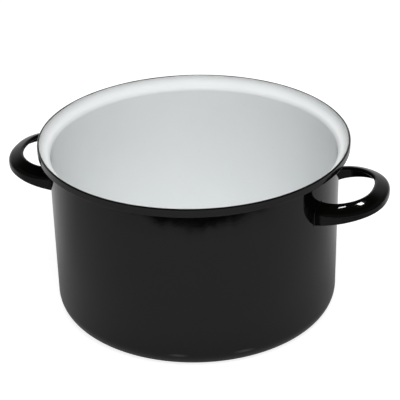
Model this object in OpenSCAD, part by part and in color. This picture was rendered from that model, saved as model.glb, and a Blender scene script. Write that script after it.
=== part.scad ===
// Enamelled steel cooking pot with a flared rim and two loop handles.
// The pot stands on z = 0 with its axis on Z. The handles point along +X and -X.

/* [Body] */
// Outer diameter of the wall just below the rim
wall_d = 243; // [180:1:320]
// Height from the table to the top of the rim
pot_h = 152.3; // [110:0.1:240]
// Amount by which the wall's radius shrinks from top to bottom
wall_taper = 0.8; // [0:0.1:6]
// Thickness of the enamelled sheet
wall_t = 1.6; // [1.2:0.1:2]
// Outer radius of the turn from the wall to the floor
corner_r = 15; // [8:0.5:30]
// Width of the flat ring that the pot stands on
stand_w = 9; // [5:0.5:20]
// Amount by which the middle of the floor is pressed up
floor_rise = 1.4; // [0.6:0.1:3]
// Width of the slope from the standing ring up to the middle
floor_slope_w = 4; // [2:0.5:8]

/* [Rim] */
// Distance from the wall out to the hem's outer face
rim_reach = 8.8; // [8:0.1:10]
// Radius of the rounded bead along the rim's top
bead_r = 1; // [0.6:0.1:1.4]
// Slant of the lip's inner face, outwards from upright, in degrees
lip_slant = 10; // [4:1:16]
// Height from the start of the lid seat's turn to the top of the rim
lip_h = 2.6; // [2:0.1:3.6]
// Height of the hem folded down outside the lip
hem_h = 6.6; // [5.5:0.1:7.2]
// Inner radius of the turn that forms the lid seat below the lip
seat_r = 6.7; // [5.6:0.1:7.5]
// Inner radius of the shoulder where the wall turns out
shoulder_r = 4.3; // [3.2:0.1:6]

/* [Handles] */
// Distance across the loop, outer flank to outer flank, before its ends draw in
loop_w = 94.7; // [70:0.1:120]
// Distance that the loop stands out from the wall
loop_reach = 44.2; // [30:0.1:60]
// Roundness of the loop in plan, where 2 is an ellipse and 4 a rounded box
loop_power = 2.3; // [2:0.05:4]
// Distance by which each end of the loop draws in towards the other
draw_in = 5.5; // [0:0.1:7]
// Length over which the ends draw in
draw_in_len = 30; // [20:1:40]
// Depth of the strap's top line below the rim's top, where it would reach the wall unwidened
loop_drop = 32.5; // [26:0.1:60]
// Upward tilt of the loop, in degrees
loop_tilt = 5.5; // [0:0.1:15]
// Thickness of the pressed strap
strap_t = 1.8; // [1.2:0.1:2.4]
// Height of the strap from its lower edge to its top line, at the loop's outer end
strap_h = 8.1; // [7:0.1:14]
// Height that the strap gains on its upper side towards the wall
root_rise = 1.6; // [0:0.1:4]
// Height that the strap gains on its lower side towards the wall
root_fall = 4.5; // [0:0.1:6]
// Width of the strap's top face, along its slope
top_w = 6.8; // [4:0.1:10]
// Slope of the top face, rising towards the pot, in degrees
top_slope = 21; // [0:1:30]
// Amount by which the top face bulges
top_crown = 0.2; // [0:0.05:0.6]
// Inside radius of the rounded turn between flank and top face
bend_r = 3.6; // [1:0.1:5.5]
// Inside radius of the rolled inner edge
roll_r = 0.4; // [0.2:0.1:2]
// Angle through which the inner edge is rolled down
roll_angle = 100; // [40:5:120]
// Length over which the strap's ends are shaped to the wall
foot_len = 14; // [8:0.5:20]
// Joint width between a handle's foot and the wall
weld_gap = 0.02; // [0.01:0.01:0.2]

/* [Hidden] */
$fn = 96;
// Segments in each arc of the body's section
body_arc_steps = 10;
// Segments in the strap's rounded turn, its rolled edge and its top face
bend_steps = 8;
roll_steps = 5;
top_steps = 4;
// Stations along the loop
loop_steps = 48;

black_enamel = [0.06, 0.06, 0.065];
charcoal_enamel = [0.15, 0.15, 0.155];

// Wall
wall_r_top = wall_d / 2;
wall_r_floor = wall_r_top - wall_taper;
wall_draft = atan(wall_taper / pot_h);

// Corner between wall and floor: one centre for the outer and inner arcs
corner_c = [wall_r_floor + corner_r * (tan(wall_draft) - 1 / cos(wall_draft)), corner_r];
corner_in_r = corner_r - wall_t;
// Standing ring and pressed-up middle
stand_in_r = corner_c[0] - stand_w;
middle_r = stand_in_r - floor_slope_w;

// Rim: the sheet turns over a small bead and hangs down outside as an upright hem
rim_r = wall_r_top + rim_reach;
bead_c = [rim_r - bead_r, pot_h - bead_r];
hem_edge_r = wall_t / 2;
hem_edge_c = [rim_r - hem_edge_r, pot_h - hem_h + hem_edge_r];

// Lid seat: the turn that carries on from the lip's inner face
lip_foot = bead_c + bead_r * angle_dir(180 - lip_slant)
    - (lip_h - bead_r) * [tan(lip_slant), 1];
seat_c = lip_foot + seat_r * angle_dir(180 - lip_slant);
seat_out_r = seat_r + wall_t;
// Angle about seat_c at which the hem's lower edge meets the back of the seat
hem_start = asin((seat_c[1] - (pot_h - hem_h)) / seat_out_r);

// Shoulder: its arc touches both the wall and the seat's arc. The two arcs meet at
// seat_slant, an angle from upright, on the line between their centres.
shoulder_out_r = shoulder_r - wall_t;
seat_offset = (seat_c[0] - wall_r_at(seat_c[1])) * cos(wall_draft);
seat_slant = wall_draft + acos((shoulder_out_r - seat_offset) / (seat_r + shoulder_r));
shoulder_c = seat_c + (seat_r + shoulder_r) * angle_dir(-seat_slant);

// Loop
loop_z = pot_h - loop_drop;
loop_root_r = wall_r_at(loop_z);
loop_half = loop_w / 2;
loop_root_x = sqrt(pow(loop_root_r, 2) - pow(loop_half, 2));
loop_depth = loop_root_r + loop_reach - loop_root_x;
bend_out_r = bend_r + strap_t;
roll_out_r = roll_r + strap_t;

function angle_dir(a) = [cos(a), sin(a)];

// Radius of the wall's outer face at height z
function wall_r_at(z) = wall_r_floor + z * tan(wall_draft);

// Points along an arc, from angle a0 to a1. first = 1 leaves out the point at a0.
function arc(c, r, a0, a1, steps, first = 0) =
    [for (i = [first:steps]) c + r * angle_dir(a0 + (a1 - a0) * i / steps)];

// Closed section of the body, from the axis under the floor round to the axis above it
function body_section() = concat(
    [[0, floor_rise], [middle_r, floor_rise], [stand_in_r, 0]],
    arc(corner_c, corner_r, -90, -wall_draft, body_arc_steps),
    arc(shoulder_c, shoulder_out_r, 180 - wall_draft, 180 - seat_slant, body_arc_steps),
    arc(seat_c, seat_out_r, -seat_slant, -hem_start, body_arc_steps, first = 1),
    arc(hem_edge_c, hem_edge_r, -90, 0, body_arc_steps),
    arc(bead_c, bead_r, 0, 180 - lip_slant, body_arc_steps),
    arc(seat_c, seat_r, -lip_slant, -seat_slant, body_arc_steps),
    arc(shoulder_c, shoulder_r, 180 - seat_slant, 180 - wall_draft, body_arc_steps, first = 1),
    arc(corner_c, corner_in_r, -wall_draft, -90, body_arc_steps),
    [[stand_in_r, wall_t], [middle_r, wall_t + floor_rise], [0, wall_t + floor_rise]]);

module pot_body() {
    color(charcoal_enamel)
        rotate_extrude(convexity = 6)
            polygon(body_section());
}

// Strap section as [out, up, angle of the outer face's normal], from the flank's lower edge
// over the top face to the rolled inner edge. gain lengthens the flank.
function strap_face(gain) =
    let(bend_c = [-bend_out_r, -bend_out_r],
        face_a = 90 - top_slope,
        roll_start = bend_c + bend_out_r * angle_dir(face_a)
            + top_w * angle_dir(face_a + 90),
        roll_c = roll_start - roll_out_r * angle_dir(face_a))
    concat(
        [[0, -strap_h - gain, 0]],
        [for (i = [0:bend_steps])
            let(a = face_a * i / bend_steps, p = bend_c + bend_out_r * angle_dir(a))
            [p[0], p[1], a]],
        [for (i = [1:top_steps - 1])
            let(u = i / top_steps,
                p = roll_start - (1 - u) * top_w * angle_dir(face_a + 90)
                    + 4 * top_crown * u * (1 - u) * angle_dir(face_a))
            [p[0], p[1], face_a + atan(4 * top_crown * (2 * u - 1) / top_w)]],
        [for (i = [0:roll_steps])
            let(a = face_a + roll_angle * i / roll_steps,
                p = roll_c + roll_out_r * angle_dir(a))
            [p[0], p[1], a]]);

// Closed strap section: outer face, rounded edge, inner face, rounded edge
function strap_section(gain) =
    let(face = strap_face(gain), last = len(face) - 1,
        outer = [for (p = face) [p[0], p[1]]],
        inner = [for (p = face) [p[0], p[1]] - strap_t * angle_dir(p[2])],
        roll_edge = (outer[last] + inner[last] + strap_t * angle_dir(face[last][2] + 90)) / 2,
        flank_edge = (outer[0] + inner[0] + strap_t * angle_dir(face[0][2] - 90)) / 2)
    concat(outer, [roll_edge], [for (i = [last:-1:0]) inner[i]], [flank_edge]);

// One station of the loop at angle q, from -90 at one foot to 90 at the other
function loop_station(q) =
    let(c = pow(abs(cos(q)), 2 / loop_power),
        s = sign(q) * pow(abs(sin(q)), 2 / loop_power),
        // Share of the draw-in still to come at this station
        drawn = max(0, 1 - loop_depth * c / draw_in_len),
        flank = pow(abs(s), loop_power - 1) / loop_half,
        across = [pow(c, loop_power - 1) / loop_depth - 2 * draw_in * drawn / draw_in_len * flank,
            sign(s) * flank],
        normal = across / norm(across),
        centre = [loop_root_x + loop_depth * c, loop_half * s - sign(s) * draw_in * pow(drawn, 2)],
        near = pow(max(0, 1 - loop_depth * c / foot_len), 2),
        gain = pow(1 - c, 2),
        lift = loop_z + root_rise * gain + tan(loop_tilt) * (centre[0] - loop_root_r))
    [for (p = strap_section((root_rise + root_fall) * gain))
        let(x = centre[0] + p[0] * normal[0],
            y = centre[1] + p[0] * normal[1],
            z = lift + p[1],
            wall_x = sqrt(pow(wall_r_at(z) + weld_gap, 2) - pow(y, 2)))
        [x + (wall_x - loop_root_x - p[0] * normal[0]) * near, y, z]];

// Skin over rings of points, closed by a strip across the sheet at each end
module strap_loft(rings) {
    n = len(rings[0]);
    // Points along each of the sheet's two faces
    m = n / 2 - 1;
    last = (len(rings) - 1) * n;
    sides = [for (k = [0:len(rings) - 2], i = [0:n - 1])
        let(a = k * n + i, b = k * n + (i + 1) % n)
        each [[a, b, b + n], [a, b + n, a + n]]];
    strip = concat(
        [[0, n - 1, n - 2], [m - 1, m + 1, m]],
        [for (i = [0:m - 2]) let(j = n - 2 - i) each [[i, j, j - 1], [i, j - 1, i + 1]]]);
    polyhedron(
        points = [for (r = rings) each r],
        faces = concat(sides, strip, [for (f = strip) [last + f[2], last + f[1], last + f[0]]]),
        convexity = 8);
}

// Pressed strap bent to a loop, its feet shaped to the wall
module loop_handle() {
    strap_loft([for (k = [0:loop_steps]) loop_station(-90 + 180 * k / loop_steps)]);
}

module handle_right() {
    color(black_enamel) loop_handle();
}

module handle_left() {
    color(black_enamel) rotate([0, 0, 180]) loop_handle();
}

pot_body();
handle_left();
handle_right();
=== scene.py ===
import bpy, bmesh
from math import radians, degrees, sin, cos, tan, asin, acos, atan, sqrt, pi
from mathutils import Vector, Matrix


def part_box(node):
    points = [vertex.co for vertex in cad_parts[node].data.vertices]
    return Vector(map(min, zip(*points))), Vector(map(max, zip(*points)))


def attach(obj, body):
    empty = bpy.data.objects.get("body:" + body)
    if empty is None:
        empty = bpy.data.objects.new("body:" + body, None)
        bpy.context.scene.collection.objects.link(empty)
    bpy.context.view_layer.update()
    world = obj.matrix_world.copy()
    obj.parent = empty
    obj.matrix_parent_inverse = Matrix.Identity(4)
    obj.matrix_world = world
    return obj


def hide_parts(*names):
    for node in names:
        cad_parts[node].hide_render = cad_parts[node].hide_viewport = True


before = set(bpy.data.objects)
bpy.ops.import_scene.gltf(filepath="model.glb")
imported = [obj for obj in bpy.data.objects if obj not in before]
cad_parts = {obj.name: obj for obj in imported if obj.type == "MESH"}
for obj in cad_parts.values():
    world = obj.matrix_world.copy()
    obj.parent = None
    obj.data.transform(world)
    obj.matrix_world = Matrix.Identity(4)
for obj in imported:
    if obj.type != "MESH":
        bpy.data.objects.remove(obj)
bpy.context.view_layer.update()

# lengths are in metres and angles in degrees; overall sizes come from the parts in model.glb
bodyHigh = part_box("pot_body")[1]
potHeight = bodyHigh.z
rimRadius = bodyHigh.x


def towards(azimuth, elevation=0):
    # azimuth 0 points along -Y and 90 along +X
    azimuth, elevation = radians(azimuth), radians(elevation)
    return Vector((sin(azimuth) * cos(elevation), -cos(azimuth) * cos(elevation), sin(elevation)))


# camera

cameraSettings = {
    "wallRadius": 0.1215,         # unit of the distances below
    "azimuth": 18.50,
    "elevation": 28.716,          # above the table
    "distance": 10.0,             # in wall radii, from the aim point
    "aimHeight": 0.6,             # in wall radii, on the pot's axis
    "pixelsPerRadius": 141.29,    # size of one wall radius at the aim point
    "aimPixels": (-4.75, 18.85),  # aim point in the picture, right and down from its middle
    "roll": 1.385,
    "pictureWidth": 400,          # pixels
    "sensor": 36.0,               # millimetres
    "clip": (0.05, 50),
}


def addCamera(settings):
    unit = settings["wallRadius"]
    focal = settings["distance"] * settings["pixelsPerRadius"]
    aim = Vector((0, 0, settings["aimHeight"] * unit))
    back = towards(settings["azimuth"], settings["elevation"])
    turned = radians(settings["azimuth"])
    right = Vector((cos(turned), sin(turned), 0))
    up = back.cross(right)
    # the optical axis passes beside the aim point, so that no lens shift is needed
    offX, offY = settings["aimPixels"]
    axis = (-back - right * offX / focal + up * offY / focal).normalized()
    right = (right - axis * right.dot(axis)).normalized()
    up = right.cross(axis)
    roll = radians(settings["roll"])
    tiltedRight = cos(roll) * right - sin(roll) * up
    tiltedUp = sin(roll) * right + cos(roll) * up
    turn = Matrix((tiltedRight, tiltedUp, -axis)).transposed().to_4x4()
    data = bpy.data.cameras.new("photoCamera")
    data.sensor_width = settings["sensor"]
    data.lens = focal / settings["pictureWidth"] * settings["sensor"]
    data.clip_start, data.clip_end = settings["clip"]
    camera = bpy.data.objects.new("photoCamera", data)
    camera.matrix_world = Matrix.Translation(aim + back * settings["distance"] * unit) @ turn
    bpy.context.scene.collection.objects.link(camera)
    bpy.context.scene.camera = camera


addCamera(cameraSettings)
print("camera placed")


# small helpers for node trees and meshes

# sockets of a Mix node by number, because their names repeat: two inputs and the result
colorFirst, colorSecond, colorResult = 6, 7, 2
floatFirst, floatSecond, floatResult = 2, 3, 0


def addNode(tree, kind, place, **values):
    node = tree.nodes.new(kind)
    node.location = place
    for name, value in values.items():
        setattr(node, name, value)
    return node


def join(tree, fromNode, fromSocket, toNode, toSocket):
    tree.links.new(fromNode.outputs[fromSocket], toNode.inputs[toSocket])


def newMaterial(name):
    material = bpy.data.materials.new(name)
    material.use_nodes = True
    tree = material.node_tree
    tree.nodes.clear()
    output = addNode(tree, "ShaderNodeOutputMaterial", (900, 0))
    shader = addNode(tree, "ShaderNodeBsdfPrincipled", (600, 0))
    join(tree, shader, "BSDF", output, "Surface")
    return material, tree, shader


def mathNode(tree, operation, place, *values):
    node = addNode(tree, "ShaderNodeMath", place, operation=operation)
    for index, value in enumerate(values):
        if value is not None:
            node.inputs[index].default_value = value
    return node


def strayNode(tree, place, noise, reach):
    # turns noise from 0 to 1 into a distance to either side
    node = mathNode(tree, "MULTIPLY_ADD", place, None, 2 * reach, -reach)
    join(tree, noise, "Fac", node, 0)
    return node


def mixNode(tree, kind, place, values):
    node = addNode(tree, "ShaderNodeMix", place, data_type=kind)
    for socket, value in values.items():
        node.inputs[socket].default_value = value
    return node


def rangeNode(tree, place, fromMin, fromMax, toMin, toMax):
    node = addNode(tree, "ShaderNodeMapRange", place, interpolation_type="SMOOTHSTEP")
    node.inputs["From Min"].default_value = fromMin
    node.inputs["From Max"].default_value = fromMax
    node.inputs["To Min"].default_value = toMin
    node.inputs["To Max"].default_value = toMax
    return node


def addMesh(bm, name, material):
    mesh = bpy.data.meshes.new(name)
    bm.to_mesh(mesh)
    bm.free()
    mesh.materials.append(material)
    made = bpy.data.objects.new(name, mesh)
    bpy.context.scene.collection.objects.link(made)
    return made


# fired enamel: shared ripple, cloudiness and pinholes

enamelPattern = {
    "rippleDetail": 2.0,
    "sagDetail": 1.0,
    "sagHeightScale": 0.3,       # below 1, so the runs are longer than wide
    "cloudDetail": 3.0,
    "pinholeEdge": (0.05, 0.14),
    "pinholeRarity": 0.93,       # share of the cells that have none
}


def makeEnamelGroup(pattern):
    group = bpy.data.node_groups.new("firedEnamel", "ShaderNodeTree")
    for name, default in (("Ripple Scale", 260.0), ("Ripple Height", 1.0),
                          ("Sag Scale", 90.0), ("Sag Height", 0.0),
                          ("Cloud Scale", 30.0), ("Pinhole Scale", 900.0), ("Pinhole Depth", 0.5),
                          ("Roughness Low", 0.05), ("Roughness High", 0.12)):
        socket = group.interface.new_socket(name, in_out="INPUT", socket_type="NodeSocketFloat")
        socket.default_value = default
    for name in ("Height", "Cloud", "Pinholes", "Roughness"):
        group.interface.new_socket(name, in_out="OUTPUT", socket_type="NodeSocketFloat")
    inputs = addNode(group, "NodeGroupInput", (-900, 0))
    outputs = addNode(group, "NodeGroupOutput", (700, 0))
    place = addNode(group, "ShaderNodeTexCoord", (-900, -300))

    # orange-peel ripple of the fired coat
    ripple = addNode(group, "ShaderNodeTexNoise", (-600, 200))
    ripple.inputs["Detail"].default_value = pattern["rippleDetail"]
    join(group, place, "Object", ripple, "Vector")
    join(group, inputs, "Ripple Scale", ripple, "Scale")
    lift = mathNode(group, "MULTIPLY", (-300, 200))
    join(group, ripple, "Fac", lift, 0)
    join(group, inputs, "Ripple Height", lift, 1)

    # runs where the wet coat sagged down the wall
    upright = addNode(group, "ShaderNodeMapping", (-750, 500))
    upright.inputs["Scale"].default_value = (1.0, 1.0, pattern["sagHeightScale"])
    join(group, place, "Object", upright, "Vector")
    sag = addNode(group, "ShaderNodeTexNoise", (-550, 500))
    sag.inputs["Detail"].default_value = pattern["sagDetail"]
    join(group, upright, "Vector", sag, "Vector")
    join(group, inputs, "Sag Scale", sag, "Scale")
    runs = mathNode(group, "MULTIPLY_ADD", (-150, 350))
    join(group, sag, "Fac", runs, 0)
    join(group, inputs, "Sag Height", runs, 1)
    join(group, lift, "Value", runs, 2)

    # slow change in the coat's thickness
    cloud = addNode(group, "ShaderNodeTexNoise", (-600, -50))
    cloud.inputs["Detail"].default_value = pattern["cloudDetail"]
    join(group, place, "Object", cloud, "Vector")
    join(group, inputs, "Cloud Scale", cloud, "Scale")

    # sparse pinholes and grains
    grain = addNode(group, "ShaderNodeTexVoronoi", (-600, -350))
    grain.inputs["Randomness"].default_value = 1.0
    join(group, place, "Object", grain, "Vector")
    join(group, inputs, "Pinhole Scale", grain, "Scale")
    spots = rangeNode(group, (-300, -350), *pattern["pinholeEdge"], 1.0, 0.0)
    join(group, grain, "Distance", spots, "Value")
    chosen = addNode(group, "ShaderNodeSeparateColor", (-450, -550))
    join(group, grain, "Color", chosen, "Color")
    few = mathNode(group, "GREATER_THAN", (-300, -550), None, pattern["pinholeRarity"])
    join(group, chosen, "Red", few, 0)
    pinholes = mathNode(group, "MULTIPLY", (-100, -400))
    join(group, spots, "Result", pinholes, 0)
    join(group, few, "Value", pinholes, 1)

    polish = addNode(group, "ShaderNodeMapRange", (0, -100))
    join(group, cloud, "Fac", polish, "Value")
    join(group, inputs, "Roughness Low", polish, "To Min")
    join(group, inputs, "Roughness High", polish, "To Max")
    depth = mathNode(group, "MULTIPLY", (100, -450))
    join(group, pinholes, "Value", depth, 0)
    join(group, inputs, "Pinhole Depth", depth, 1)
    pitted = mathNode(group, "SUBTRACT", (300, 200))
    join(group, runs, "Value", pitted, 0)
    join(group, depth, "Value", pitted, 1)
    join(group, pitted, "Value", outputs, "Height")
    join(group, cloud, "Fac", outputs, "Cloud")
    join(group, pinholes, "Value", outputs, "Pinholes")
    join(group, polish, "Result", outputs, "Roughness")
    return group


enamelGroup = makeEnamelGroup(enamelPattern)


def placeEnamel(tree, values):
    node = addNode(tree, "ShaderNodeGroup", (-500, -200), node_tree=enamelGroup)
    for name, value in values.items():
        node.inputs[name].default_value = value
    return node


def addBump(tree, shader, enamel, distance):
    bump = addNode(tree, "ShaderNodeBump", (300, -300))
    bump.inputs["Strength"].default_value = 1.0
    bump.inputs["Distance"].default_value = distance
    join(tree, enamel, "Height", bump, "Height")
    join(tree, bump, "Normal", shader, "Normal")


def cloudMix(tree, place, enamel, color, cloudColor):
    node = mixNode(tree, "RGBA", place, {colorFirst: color, colorSecond: cloudColor})
    join(tree, enamel, "Cloud", node, 0)
    return node


# black enamel of the handles

handleEnamel = {
    "color": (0.0010, 0.0010, 0.0009, 1),
    "cloudColor": (0.0024, 0.0023, 0.0020, 1),
    "specular": 0.3,
    "bump": 0.00001,
    "grain": {"Ripple Scale": 220.0, "Ripple Height": 1.0, "Cloud Scale": 60.0,
              "Pinhole Scale": 900.0, "Roughness Low": 0.04, "Roughness High": 0.09},
}


def makeBlackEnamel(settings):
    material, tree, shader = newMaterial("blackEnamel")
    enamel = placeEnamel(tree, settings["grain"])
    tint = cloudMix(tree, (0, 200), enamel, settings["color"], settings["cloudColor"])
    join(tree, tint, colorResult, shader, "Base Color")
    join(tree, enamel, "Roughness", shader, "Roughness")
    shader.inputs["Specular IOR Level"].default_value = settings["specular"]
    addBump(tree, shader, enamel, settings["bump"])
    return material


# body enamel: dark outside, pale inside, meeting at the lip

bodyEnamel = {
    "outside": (0.0015, 0.0015, 0.0015, 1),
    "outsideCloud": (0.0032, 0.0032, 0.0031, 1),
    "inside": (0.795, 0.815, 0.817, 1),
    "insideCloud": (0.770, 0.790, 0.792, 1),
    "thinEdge": (0.60, 0.61, 0.61, 1),  # pale coat thinned over the lip
    "thinReach": 0.0030,
    "edgeWander": 0.00035,     # how far the colour line strays, in metres
    "edgeWanderScale": 45.0,
    "edgeSoftness": 0.00012,
    "specular": 0.5,
    "bump": 0.00002,
    "speck": (0.30, 0.30, 0.29, 1),
    "speckShare": 0.5,
    "grain": {"Ripple Scale": 180.0, "Ripple Height": 1.0, "Sag Scale": 110.0, "Sag Height": 2.0,
              "Cloud Scale": 26.0, "Pinhole Scale": 500.0, "Roughness Low": 0.05,
              "Roughness High": 0.10},
}


def makeBodyEnamel(settings):
    material, tree, shader = newMaterial("bodyEnamel")
    enamel = placeEnamel(tree, settings["grain"])
    outside = cloudMix(tree, (-200, 400), enamel, settings["outside"], settings["outsideCloud"])
    inside = cloudMix(tree, (-200, 150), enamel, settings["inside"], settings["insideCloud"])

    # grains darken the pale coat
    share = mathNode(tree, "MULTIPLY", (-200, 0), None, settings["speckShare"])
    join(tree, enamel, "Pinholes", share, 0)
    specked = mixNode(tree, "RGBA", (-50, 100), {colorSecond: settings["speck"]})
    join(tree, share, "Value", specked, 0)
    join(tree, inside, colorResult, specked, colorFirst)

    # distance along the section from the line where the two coats meet
    distance = addNode(tree, "ShaderNodeAttribute", (-900, 500), attribute_name="coatDistance")
    place = addNode(tree, "ShaderNodeTexCoord", (-1300, 700))
    wander = addNode(tree, "ShaderNodeTexNoise", (-1100, 700))
    wander.inputs["Scale"].default_value = settings["edgeWanderScale"]
    join(tree, place, "Object", wander, "Vector")
    stray = strayNode(tree, (-900, 700), wander, settings["edgeWander"])
    shifted = mathNode(tree, "ADD", (-650, 550))
    join(tree, distance, "Fac", shifted, 0)
    join(tree, stray, "Value", shifted, 1)
    side = rangeNode(tree, (-400, 600), -settings["edgeSoftness"], settings["edgeSoftness"], 0, 1)
    join(tree, shifted, "Value", side, "Value")
    thin = rangeNode(tree, (-400, 300), 0, settings["thinReach"], 1, 0)
    join(tree, shifted, "Value", thin, "Value")
    pale = mixNode(tree, "RGBA", (50, 200), {colorSecond: settings["thinEdge"]})
    join(tree, thin, "Result", pale, 0)
    join(tree, specked, colorResult, pale, colorFirst)
    both = mixNode(tree, "RGBA", (300, 300), {})
    join(tree, side, "Result", both, 0)
    join(tree, outside, colorResult, both, colorFirst)
    join(tree, pale, colorResult, both, colorSecond)
    join(tree, both, colorResult, shader, "Base Color")
    join(tree, enamel, "Roughness", shader, "Roughness")
    shader.inputs["Specular IOR Level"].default_value = settings["specular"]
    addBump(tree, shader, enamel, settings["bump"])
    return material


bodyMaterial = makeBodyEnamel(bodyEnamel)
handleMaterial = makeBlackEnamel(handleEnamel)
print("enamels made")


# a pen that draws a section in the XZ plane with extrude and spin

def startPen(point):
    bm = bmesh.new()
    return bm, bmesh.ops.create_vert(bm, co=(point[0], 0, point[1]))["vert"][0]


def lineTo(bm, pen, point):
    new = bmesh.ops.extrude_vert_indiv(bm, verts=[pen])["verts"][0]
    new.co = Vector((point[0], 0, point[1]))
    return new


def arcBy(bm, pen, centre, angle, steps):
    # a positive angle turns anticlockwise in the section, with out to the right and up upwards
    made = bmesh.ops.spin(bm, geom=[pen], cent=(centre[0], 0, centre[1]), axis=(0, -1, 0),
                          angle=radians(angle), steps=steps, use_duplicate=False)
    return [part for part in made["geom_last"] if isinstance(part, bmesh.types.BMVert)][0]


def direction(angle):
    return Vector((cos(radians(angle)), sin(radians(angle))))


# pot body

potBody = {
    "wallTaper": 0.0008,
    "wallThickness": 0.0016,
    "cornerRadius": 0.015,
    "standWidth": 0.009,       # flat ring that the pot stands on
    "floorRise": 0.0014,       # the floor's middle is pressed up
    "floorSlope": 0.004,
    "rimReach": 0.0088,
    "beadRadius": 0.0010,      # rounded top of the folded lip
    "lipSlant": 10,
    "lipHeight": 0.0026,
    "hemHeight": 0.0066,
    "hemEdge": 0.0008,
    "seatRadius": 0.0067,
    "shoulderRadius": 0.0043,
    "coatLine": 0.0006,        # the pale coat ends this far over the bead's inner side
    "arcSteps": 14,
    "turns": 288,
    "samePlace": 1e-7,
    "mergeReach": 1e-6,
    "flatWeight": 100,         # full weight on the larger of two faces that meet
}
sharpAngle = 16                # between faces; above it an edge stays sharp


def wallAt(z):
    # radius of the wall's outer face
    foot = rimRadius - potBody["rimReach"] - potBody["wallTaper"]
    return foot + z * potBody["wallTaper"] / potHeight


def makePotBody(size):
    thickness, steps = size["wallThickness"], size["arcSteps"]
    draft = degrees(atan(size["wallTaper"] / potHeight))

    corner = Vector((wallAt(size["cornerRadius"]) - size["cornerRadius"] / cos(radians(draft)),
                     size["cornerRadius"]))
    standInner = corner.x - size["standWidth"]
    middle = standInner - size["floorSlope"]

    slant = size["lipSlant"]
    bead = Vector((rimRadius - size["beadRadius"], potHeight - size["beadRadius"]))
    lipDrop = (size["lipHeight"] - size["beadRadius"]) * Vector((tan(radians(slant)), 1))
    lipFoot = bead + size["beadRadius"] * direction(180 - slant) - lipDrop
    seat = lipFoot + size["seatRadius"] * direction(180 - slant)
    seatBack = size["seatRadius"] + thickness
    hemLow = potHeight - size["hemHeight"]
    hemCentre = Vector((rimRadius - size["hemEdge"], hemLow + size["hemEdge"]))
    hemStart = degrees(asin((seat.y - hemLow) / seatBack))

    # the seat's arc runs into the shoulder's, which touches the wall
    shoulderBack = size["shoulderRadius"] - thickness
    offset = (seat.x - wallAt(seat.y)) * cos(radians(draft))
    across = size["seatRadius"] + size["shoulderRadius"]
    seatSlant = draft + degrees(acos((shoulderBack - offset) / across))
    shoulder = seat + across * direction(-seatSlant)

    # outside: floor, corner, wall, shoulder, seat's back, hem, bead
    bm, pen = startPen((0, size["floorRise"]))
    pen = lineTo(bm, pen, (middle, size["floorRise"]))
    pen = lineTo(bm, pen, (standInner, 0))
    pen = lineTo(bm, pen, (corner.x, 0))
    pen = arcBy(bm, pen, corner, 90 - draft, steps * 2)
    pen = lineTo(bm, pen, shoulder + shoulderBack * direction(180 - draft))
    pen = arcBy(bm, pen, shoulder, draft - seatSlant, steps)
    pen = arcBy(bm, pen, seat, seatSlant - hemStart, steps)
    pen = lineTo(bm, pen, hemCentre + size["hemEdge"] * direction(-90))
    pen = arcBy(bm, pen, hemCentre, 90, steps // 2)
    pen = lineTo(bm, pen, bead + size["beadRadius"] * direction(0))
    pen = arcBy(bm, pen, bead, 180 - slant, steps * 2)
    coatPlace = pen.co.copy()
    # inside: lip, seat, shoulder, wall, corner, floor
    pen = lineTo(bm, pen, lipFoot)
    pen = arcBy(bm, pen, seat, slant - seatSlant, steps)
    pen = arcBy(bm, pen, shoulder, seatSlant - draft, steps)
    pen = lineTo(bm, pen, corner + (size["cornerRadius"] - thickness) * direction(-draft))
    pen = arcBy(bm, pen, corner, draft - 90, steps * 2)
    pen = lineTo(bm, pen, (standInner, thickness))
    pen = lineTo(bm, pen, (middle, thickness + size["floorRise"]))
    pen = lineTo(bm, pen, (0, thickness + size["floorRise"]))

    # distance along the section, zero where the pale coat meets the dark one
    layer = bm.verts.layers.float.new("coatDistance")
    bm.verts.ensure_lookup_table()
    run, past = 0.0, None
    for vert in bm.verts:
        if past is not None:
            run += (vert.co - past.co).length
        if (vert.co - coatPlace).length < size["samePlace"]:
            coatRun = run
        vert[layer] = run
        past = vert
    for vert in bm.verts:
        vert[layer] -= coatRun - size["coatLine"]

    bmesh.ops.spin(bm, geom=bm.verts[:] + bm.edges[:], cent=(0, 0, 0), axis=(0, 0, 1),
                   angle=2 * pi, steps=size["turns"], use_merge=True, use_duplicate=False)
    bmesh.ops.remove_doubles(bm, verts=bm.verts, dist=size["mergeReach"])
    bmesh.ops.recalc_face_normals(bm, faces=bm.faces)
    body = finishPiece(bm, "potBody", bodyMaterial, "pot_body")
    # keeps the straight wall and hem flat up to their bends, as mirrored light shows
    flat = body.modifiers.new("flatStretches", "WEIGHTED_NORMAL")
    flat.mode, flat.weight, flat.keep_sharp = "FACE_AREA", size["flatWeight"], True


def finishPiece(bm, name, material, node):
    piece = addMesh(bm, name, material)
    piece.data.shade_smooth()
    piece.data.set_sharp_from_angle(angle=radians(sharpAngle))
    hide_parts(node)
    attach(piece, "root")
    print(name, "made,", len(piece.data.polygons), "faces")
    return piece


makePotBody(potBody)


# loop handles

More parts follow.
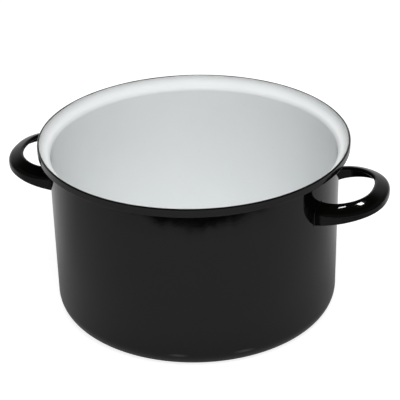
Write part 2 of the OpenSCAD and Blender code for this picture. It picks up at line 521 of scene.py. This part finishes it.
loopHandle = {
    "width": 0.0947,           # outer flank to outer flank, before the ends draw in
    "reach": 0.0442,
    "power": 2.3,              # 2 is an ellipse in plan, 4 a rounded box
    "drawIn": 0.0055,          # of each end, at the wall
    "drawInLength": 0.030,
    "drop": 0.0325,            # top line below the rim's top, at the wall
    "tilt": 5.5,
    "thickness": 0.0018,
    "height": 0.0081,          # of the strap at the loop's outer end
    "rootRise": 0.0016,        # height gained on the upper side towards the wall
    "rootFall": 0.0045,        # the same on the lower side
    "topWidth": 0.0068,
    "topSlope": 21,
    "topCrown": 0.0002,        # how far the top face bulges
    "bendRadius": 0.0054,
    "rollRadius": 0.0022,
    "rollAngle": 100,
    "footLength": 0.014,
    "filletRadius": 0.0014,    # enamel filling the corner at the wall
    "gap": 0.00002,
    "arcSteps": 12,
    "flankSteps": 6,
    "topSteps": 8,
    "edgeAngles": (30, 60, 90, 120, 150),  # of the points round the sheet's edge
    "stations": 150,
    "crowding": 0.9,           # 0 spaces the stations evenly, 1 crowds them fully at the feet
    "pathSteps": 2000,
}


def strapSection(size):
    # the strap's outer line as (out, up, angle of its normal), from flank edge to rolled edge
    slope, steps = size["topSlope"], size["arcSteps"]
    faceAngle = 90 - slope
    bend = Vector((-size["bendRadius"], -size["bendRadius"]))
    flank = size["height"] - size["bendRadius"]
    points = [(0, -size["height"] + flank * i / size["flankSteps"], 0)
              for i in range(size["flankSteps"])]
    for i in range(steps + 1):
        angle = faceAngle * i / steps
        point = bend + size["bendRadius"] * direction(angle)
        points.append((point.x, point.y, angle))
    start = bend + size["bendRadius"] * direction(faceAngle)
    along, normal = direction(faceAngle + 90), direction(faceAngle)
    for i in range(1, size["topSteps"]):
        share = i / size["topSteps"]
        bulge = 4 * size["topCrown"] * share * (1 - share)
        point = start + along * size["topWidth"] * share + normal * bulge
        tip = degrees(atan(4 * size["topCrown"] / size["topWidth"] * (2 * share - 1)))
        points.append((point.x, point.y, faceAngle + tip))
    roll = start + along * size["topWidth"] - normal * size["rollRadius"]
    for i in range(steps + 1):
        angle = faceAngle + size["rollAngle"] * i / steps
        point = roll + size["rollRadius"] * direction(angle)
        points.append((point.x, point.y, angle))
    return points


def sheetRing(size, fillet):
    # closed ring round the sheet, with the enamel fillet added to both faces
    line = strapSection(size)
    half = size["thickness"] / 2
    outer = [Vector((x, z)) + direction(a) * fillet for x, z, a in line]
    inner = [Vector((x, z)) - direction(a) * (size["thickness"] + fillet) for x, z, a in line]

    def edgeRound(index, sign):
        x, z, a = line[index]
        centre = Vector((x, z)) - direction(a) * half
        return [centre + (half + fillet) * direction(a + sign * t) for t in size["edgeAngles"]]

    return outer + edgeRound(-1, 1) + inner[::-1] + edgeRound(0, -1)[::-1]


def loopPath(size, rootX, depth):
    # places along the loop at even steps of length, drawn close together near the feet
    half, fine = size["width"] / 2, size["pathSteps"]
    places = []
    for i in range(fine + 1):
        q = -pi / 2 + pi * i / fine
        side = 1 if q > 0 else -1
        c = abs(cos(q)) ** (2 / size["power"])
        s = abs(sin(q)) ** (2 / size["power"])
        drawn = max(0.0, 1 - depth * c / size["drawInLength"])
        flank = s ** (size["power"] - 1) / half
        lean = 2 * size["drawIn"] * drawn / size["drawInLength"] * flank
        normal = Vector((c ** (size["power"] - 1) / depth - lean, side * flank)).normalized()
        place = Vector((rootX + depth * c, side * (half * s - size["drawIn"] * drawn ** 2)))
        places.append((place, normal))
    lengths = [0.0]
    for before, after in zip(places, places[1:]):
        lengths.append(lengths[-1] + (after[0] - before[0]).length)
    chosen, index = [], 0
    for k in range(size["stations"] + 1):
        u = k / size["stations"]
        wanted = lengths[-1] * (u - size["crowding"] * sin(2 * pi * u) / (2 * pi))
        while index < fine - 1 and lengths[index + 1] < wanted:
            index += 1
        span = lengths[index + 1] - lengths[index]
        share = min(1, max(0, (wanted - lengths[index]) / span))
        place = places[index][0].lerp(places[index + 1][0], share)
        normal = places[index][1].lerp(places[index + 1][1], share).normalized()
        chosen.append((place, normal, min(wanted, lengths[-1] - wanted)))
    return chosen


def stationPoints(size, rootX, depth, place, normal, fromWall):
    # the sheet's ring at one place along the loop, shaped to the wall near the feet
    topLine = potHeight - size["drop"]
    blend = max(0.0, 1 - (place.x - rootX) / size["footLength"]) ** 2
    rest = max(0.0, size["filletRadius"] - fromWall)
    fillet = size["filletRadius"] - sqrt(size["filletRadius"] ** 2 - rest ** 2)
    gain = (1 - (place.x - rootX) / depth) ** 2
    taller = size["height"] + (size["rootRise"] + size["rootFall"]) * gain
    climb = tan(radians(size["tilt"])) * (place.x - wallAt(topLine))
    lift = topLine + size["rootRise"] * gain + climb
    points = []
    for out, up in sheetRing({**size, "height": taller}, fillet):
        y, z = place.y + out * normal.y, lift + up
        wallX = sqrt((wallAt(z) + size["gap"]) ** 2 - y ** 2)
        shift = (wallX - rootX - out * normal.x) * blend
        points.append(Vector((place.x + out * normal.x + shift, y, z)))
    return points


def extrudeRing(bm, verts, edges, points):
    made = bmesh.ops.extrude_edge_only(bm, edges=edges)["geom"]
    newVerts = [part for part in made if isinstance(part, bmesh.types.BMVert)]
    newEdges = [part for part in made if isinstance(part, bmesh.types.BMEdge)
                and part.verts[0] in newVerts and part.verts[1] in newVerts]
    after = {}
    for vert in newVerts:
        for edge in vert.link_edges:
            other = edge.other_vert(vert)
            if other in verts:
                after[other] = vert
    newVerts = [after[vert] for vert in verts]
    for vert, point in zip(newVerts, points):
        vert.co = point
    return newVerts, newEdges


def makeHandle(size, name, node, turn):
    root = wallAt(potHeight - size["drop"])
    rootX = sqrt(root ** 2 - (size["width"] / 2) ** 2)
    depth = root + size["reach"] - rootX
    rings = [stationPoints(size, rootX, depth, *stop) for stop in loopPath(size, rootX, depth)]
    bm = bmesh.new()
    verts = [bmesh.ops.create_vert(bm, co=point)["vert"][0] for point in rings[0]]
    first = [bm.edges.new((a, b)) for a, b in zip(verts, verts[1:] + verts[:1])]
    last = first
    for points in rings[1:]:
        verts, last = extrudeRing(bm, verts, last, points)
    for edges in (first, last):
        bmesh.ops.triangle_fill(bm, edges=edges, use_beauty=True)
    bmesh.ops.rotate(bm, verts=bm.verts, cent=(0, 0, 0),
                     matrix=Matrix.Rotation(radians(turn), 3, "Z"))
    bmesh.ops.recalc_face_normals(bm, faces=bm.faces)
    finishPiece(bm, name, handleMaterial, node)


makeHandle(loopHandle, "handleRight", "handle_right", 0)
makeHandle(loopHandle, "handleLeft", "handle_left", 180)


# floor, world and lamps

stageSettings = {
    "floorSize": 1.6,
    "floorSteps": 8,
    "floorColor": (0.375, 0.375, 0.375, 1),
    "floorRoughness": 0.9,
    "floorGlow": 0.85,         # added for the camera, so that the lit floor reads white
    "floorSheen": 0.02,        # the same as mirrored or seen through glass
    "backSheen": 0.28,         # the same behind the pot
    "sheenPlace": (-0.18, 0.02),  # where it turns from one to the other, towards the camera
    "ambient": 0.13,           # light from all round
    "horizon": 0.10,           # studio wall, as mirrored
    "backWall": 0.60,          # the same behind the pot
    "backAzimuth": 205,
    "backSides": (0.40, 1.0),  # where it turns from one to the other, as the turn's cosine
    "overhead": 0.010,         # dark ceiling, as mirrored
    "wallTop": (0.50, 0.80),   # where the studio wall ends, as the sine of elevation
    "cardLift": 0.001,         # of the cards above the floor
    "cardSteps": 40,
    "cardReach": (0.330, 0.380),  # dark card on the floor before the pot, from the pot's axis
    "cardSpan": 110,
    "cardColor": (0.002, 0.002, 0.002, 1),
    "fadeCentre": 0.092,       # the card's fading edge is an arc from this far behind the axis
    "fadeTurn": 5,
    "fadeReach": (0.431, 0.451),
    "fadeStray": 0.020,
    "fadeScale": 16.0,
    "glintReach": (0.1280, 0.1380),  # light lines on the floor, from the pot's axis
    "glintTurns": ((9.5, 11.5), (38.5, 13)),  # azimuth and span
    "glintGlow": 0.55,
}


def rayKinds(tree, place):
    # sockets that are 1 for rays from the camera, and for those from a mirror or through glass
    path = addNode(tree, "ShaderNodeLightPath", place)
    bent = mathNode(tree, "MAXIMUM", (place[0] + 200, place[1] - 150))
    join(tree, path, "Is Glossy Ray", bent, 0)
    join(tree, path, "Is Transmission Ray", bent, 1)
    return path.outputs["Is Camera Ray"], bent.outputs["Value"]


def matteMaterial(name, settings):
    material, tree, shader = newMaterial(name)
    shader.inputs["Base Color"].default_value = settings["floorColor"]
    shader.inputs["Roughness"].default_value = settings["floorRoughness"]
    shader.inputs["Specular IOR Level"].default_value = 0.0
    shader.inputs["Emission Color"].default_value = (1, 1, 1, 1)
    return material, tree, shader


def makeFloor(settings):
    material, tree, shader = matteMaterial("studioFloor", settings)
    place = addNode(tree, "ShaderNodeTexCoord", (-900, -700))
    nearness = addNode(tree, "ShaderNodeVectorMath", (-600, -700), operation="DOT_PRODUCT")
    nearness.inputs[1].default_value = towards(cameraSettings["azimuth"])
    join(tree, place, "Object", nearness, 0)
    sheen = rangeNode(tree, (-300, -700), *settings["sheenPlace"],
                      settings["backSheen"], settings["floorSheen"])
    join(tree, nearness, "Value", sheen, "Value")
    fromCamera, fromMirror = rayKinds(tree, (-900, -100))
    straight = mathNode(tree, "MULTIPLY", (-300, 0), None, settings["floorGlow"])
    tree.links.new(fromCamera, straight.inputs[0])
    glow = mathNode(tree, "MULTIPLY_ADD", (200, -200))
    tree.links.new(fromMirror, glow.inputs[0])
    join(tree, sheen, "Result", glow, 1)
    join(tree, straight, "Value", glow, 2)
    join(tree, glow, "Value", shader, "Emission Strength")
    bm = bmesh.new()
    steps = settings["floorSteps"]
    bmesh.ops.create_grid(bm, x_segments=steps, y_segments=steps, size=settings["floorSize"] / 2)
    addMesh(bm, "studioFloor", material)


def addCard(settings, name, reaches, azimuth, span, material):
    # a flat arc on the floor, seen only as mirrored in the enamel
    start = towards(azimuth - span / 2)
    lift = Vector((0, 0, settings["cardLift"]))
    bm = bmesh.new()
    ends = [bmesh.ops.create_vert(bm, co=start * reach + lift)["vert"][0] for reach in reaches]
    edge = bm.edges.new(ends)
    bmesh.ops.spin(bm, geom=ends + [edge], cent=(0, 0, 0), axis=(0, 0, 1),
                   angle=radians(span), steps=settings["cardSteps"], use_duplicate=False)
    card = addMesh(bm, name, material)
    card.visible_camera = card.visible_diffuse = card.visible_shadow = False


def makeCard(settings):
    # darkens the mirrored floor: a painted dark reflection on the wall under the rim, with a
    # wavering edge
    material, tree, shader = matteMaterial("darkCard", settings)
    place = addNode(tree, "ShaderNodeTexCoord", (-1100, 0))
    moved = addNode(tree, "ShaderNodeVectorMath", (-900, 100), operation="ADD")
    turned = towards(cameraSettings["azimuth"] + settings["fadeTurn"])
    moved.inputs[1].default_value = settings["fadeCentre"] * turned
    join(tree, place, "Object", moved, 0)
    length = addNode(tree, "ShaderNodeVectorMath", (-700, 100), operation="LENGTH")
    join(tree, moved, "Vector", length, 0)
    noise = addNode(tree, "ShaderNodeTexNoise", (-700, -150))
    noise.inputs["Scale"].default_value = settings["fadeScale"]
    join(tree, place, "Object", noise, "Vector")
    stray = strayNode(tree, (-450, -100), noise, settings["fadeStray"])
    reach = mathNode(tree, "ADD", (-250, 50))
    join(tree, length, "Value", reach, 0)
    join(tree, stray, "Value", reach, 1)
    fade = rangeNode(tree, (-50, 50), *settings["fadeReach"], 0, 1)
    join(tree, reach, "Value", fade, "Value")
    shade = mixNode(tree, "RGBA", (200, 50), {colorFirst: settings["floorColor"],
                                              colorSecond: settings["cardColor"]})
    join(tree, fade, "Result", shade, 0)
    join(tree, shade, colorResult, shader, "Base Color")
    shader.inputs["Emission Strength"].default_value = 0.0
    addCard(settings, "darkCard", settings["cardReach"], cameraSettings["azimuth"],
            settings["cardSpan"], material)


def makeGlints(settings):
    # light lines near the pot's foot, brightest in the middle
    reach = sum(settings["glintReach"]) / 2
    for number, (azimuth, span) in enumerate(settings["glintTurns"]):
        name = f"glint{number}"
        material, tree, shader = matteMaterial(name, settings)
        place = addNode(tree, "ShaderNodeTexCoord", (-700, 0))
        away = addNode(tree, "ShaderNodeVectorMath", (-500, 0), operation="DISTANCE")
        away.inputs[1].default_value = reach * towards(azimuth)
        join(tree, place, "Object", away, 0)
        halfLength = reach * radians(span) / 2
        fade = rangeNode(tree, (-300, 0), 0, halfLength, settings["glintGlow"], 0)
        join(tree, away, "Value", fade, "Value")
        join(tree, fade, "Result", shader, "Emission Strength")
        addCard(settings, name, settings["glintReach"], azimuth, span, material)


def makeWorld(settings):
    world = bpy.data.worlds.new("studio")
    bpy.context.scene.world = world
    world.use_nodes = True
    tree = world.node_tree
    tree.nodes.clear()
    output = addNode(tree, "ShaderNodeOutputWorld", (900, 0))
    light = addNode(tree, "ShaderNodeBackground", (600, 0))
    light.inputs["Color"].default_value = (1, 1, 1, 1)
    join(tree, light, "Background", output, "Surface")

    # studio wall as mirrored, brighter behind the pot, and the dark ceiling above it
    place = addNode(tree, "ShaderNodeTexCoord", (-800, 200))
    parts = addNode(tree, "ShaderNodeSeparateXYZ", (-600, 200))
    join(tree, place, "Generated", parts, "Vector")
    behind = addNode(tree, "ShaderNodeVectorMath", (-600, 450), operation="DOT_PRODUCT")
    behind.inputs[1].default_value = towards(settings["backAzimuth"])
    join(tree, place, "Generated", behind, 0)
    sides = rangeNode(tree, (-400, 450), *settings["backSides"],
                      settings["horizon"], settings["backWall"])
    join(tree, behind, "Value", sides, "Value")
    wall = rangeNode(tree, (-200, 200), *settings["wallTop"], 0, settings["overhead"])
    join(tree, parts, "Z", wall, "Value")
    join(tree, sides, "Result", wall, "To Min")

    # white for the camera, the wall in mirrors, and even light for all else
    fromCamera, fromMirror = rayKinds(tree, (-700, -100))
    mirrored = mixNode(tree, "FLOAT", (200, 0), {floatFirst: settings["ambient"]})
    tree.links.new(fromMirror, mirrored.inputs[0])
    join(tree, wall, "Result", mirrored, floatSecond)
    white = mixNode(tree, "FLOAT", (400, 0), {floatSecond: 1.0})
    tree.links.new(fromCamera, white.inputs[0])
    join(tree, mirrored, floatResult, white, floatFirst)
    join(tree, white, floatResult, light, "Strength")


lampAim = Vector((0, 0, 0.1))
lampSettings = {
    # place as azimuth, elevation and distance from lampAim; size in metres; power in watts;
    # the mirrored ones only make highlights in the enamel, the others only light it
    "stripBox": {"azimuth": 208, "elevation": 73, "distance": 1.6, "size": (0.54, 0.09),
                 "power": 6, "mirrored": True},
    "squareBox": {"azimuth": 150, "elevation": 63, "distance": 1.6, "size": (0.22, 0.15),
                  "power": 5, "mirrored": True},
    "topBox": {"azimuth": 18.5, "elevation": 88, "distance": 1.8, "size": (1.0, 1.0),
               "power": 12.6, "mirrored": False},
    "frontBox": {"azimuth": 24, "elevation": 50, "distance": 1.6, "size": (0.8, 0.8),
                 "power": 18.5, "mirrored": False},
}


def addLamps(lamps):
    # the mirrored lamps reach the right handle only, through light linking
    lit = bpy.data.collections.new("highlit")
    lit.objects.link(bpy.data.objects["handleRight"])
    for name, lamp in lamps.items():
        toward = towards(lamp["azimuth"], lamp["elevation"])
        data = bpy.data.lights.new(name, "AREA")
        data.shape = "RECTANGLE"
        data.size, data.size_y = lamp["size"]
        data.energy = lamp["power"]
        box = bpy.data.objects.new(name, data)
        box.location = lampAim + toward * lamp["distance"]
        box.rotation_euler = toward.to_track_quat("Z", "Y").to_euler()
        box.visible_glossy = lamp["mirrored"]
        box.visible_diffuse = not lamp["mirrored"]
        if lamp["mirrored"]:
            box.light_linking.receiver_collection = lit
        bpy.context.scene.collection.objects.link(box)


makeFloor(stageSettings)
makeCard(stageSettings)
makeGlints(stageSettings)
makeWorld(stageSettings)
addLamps(lampSettings)
bpy.context.scene.view_settings.view_transform = "Standard"
print("studio set")
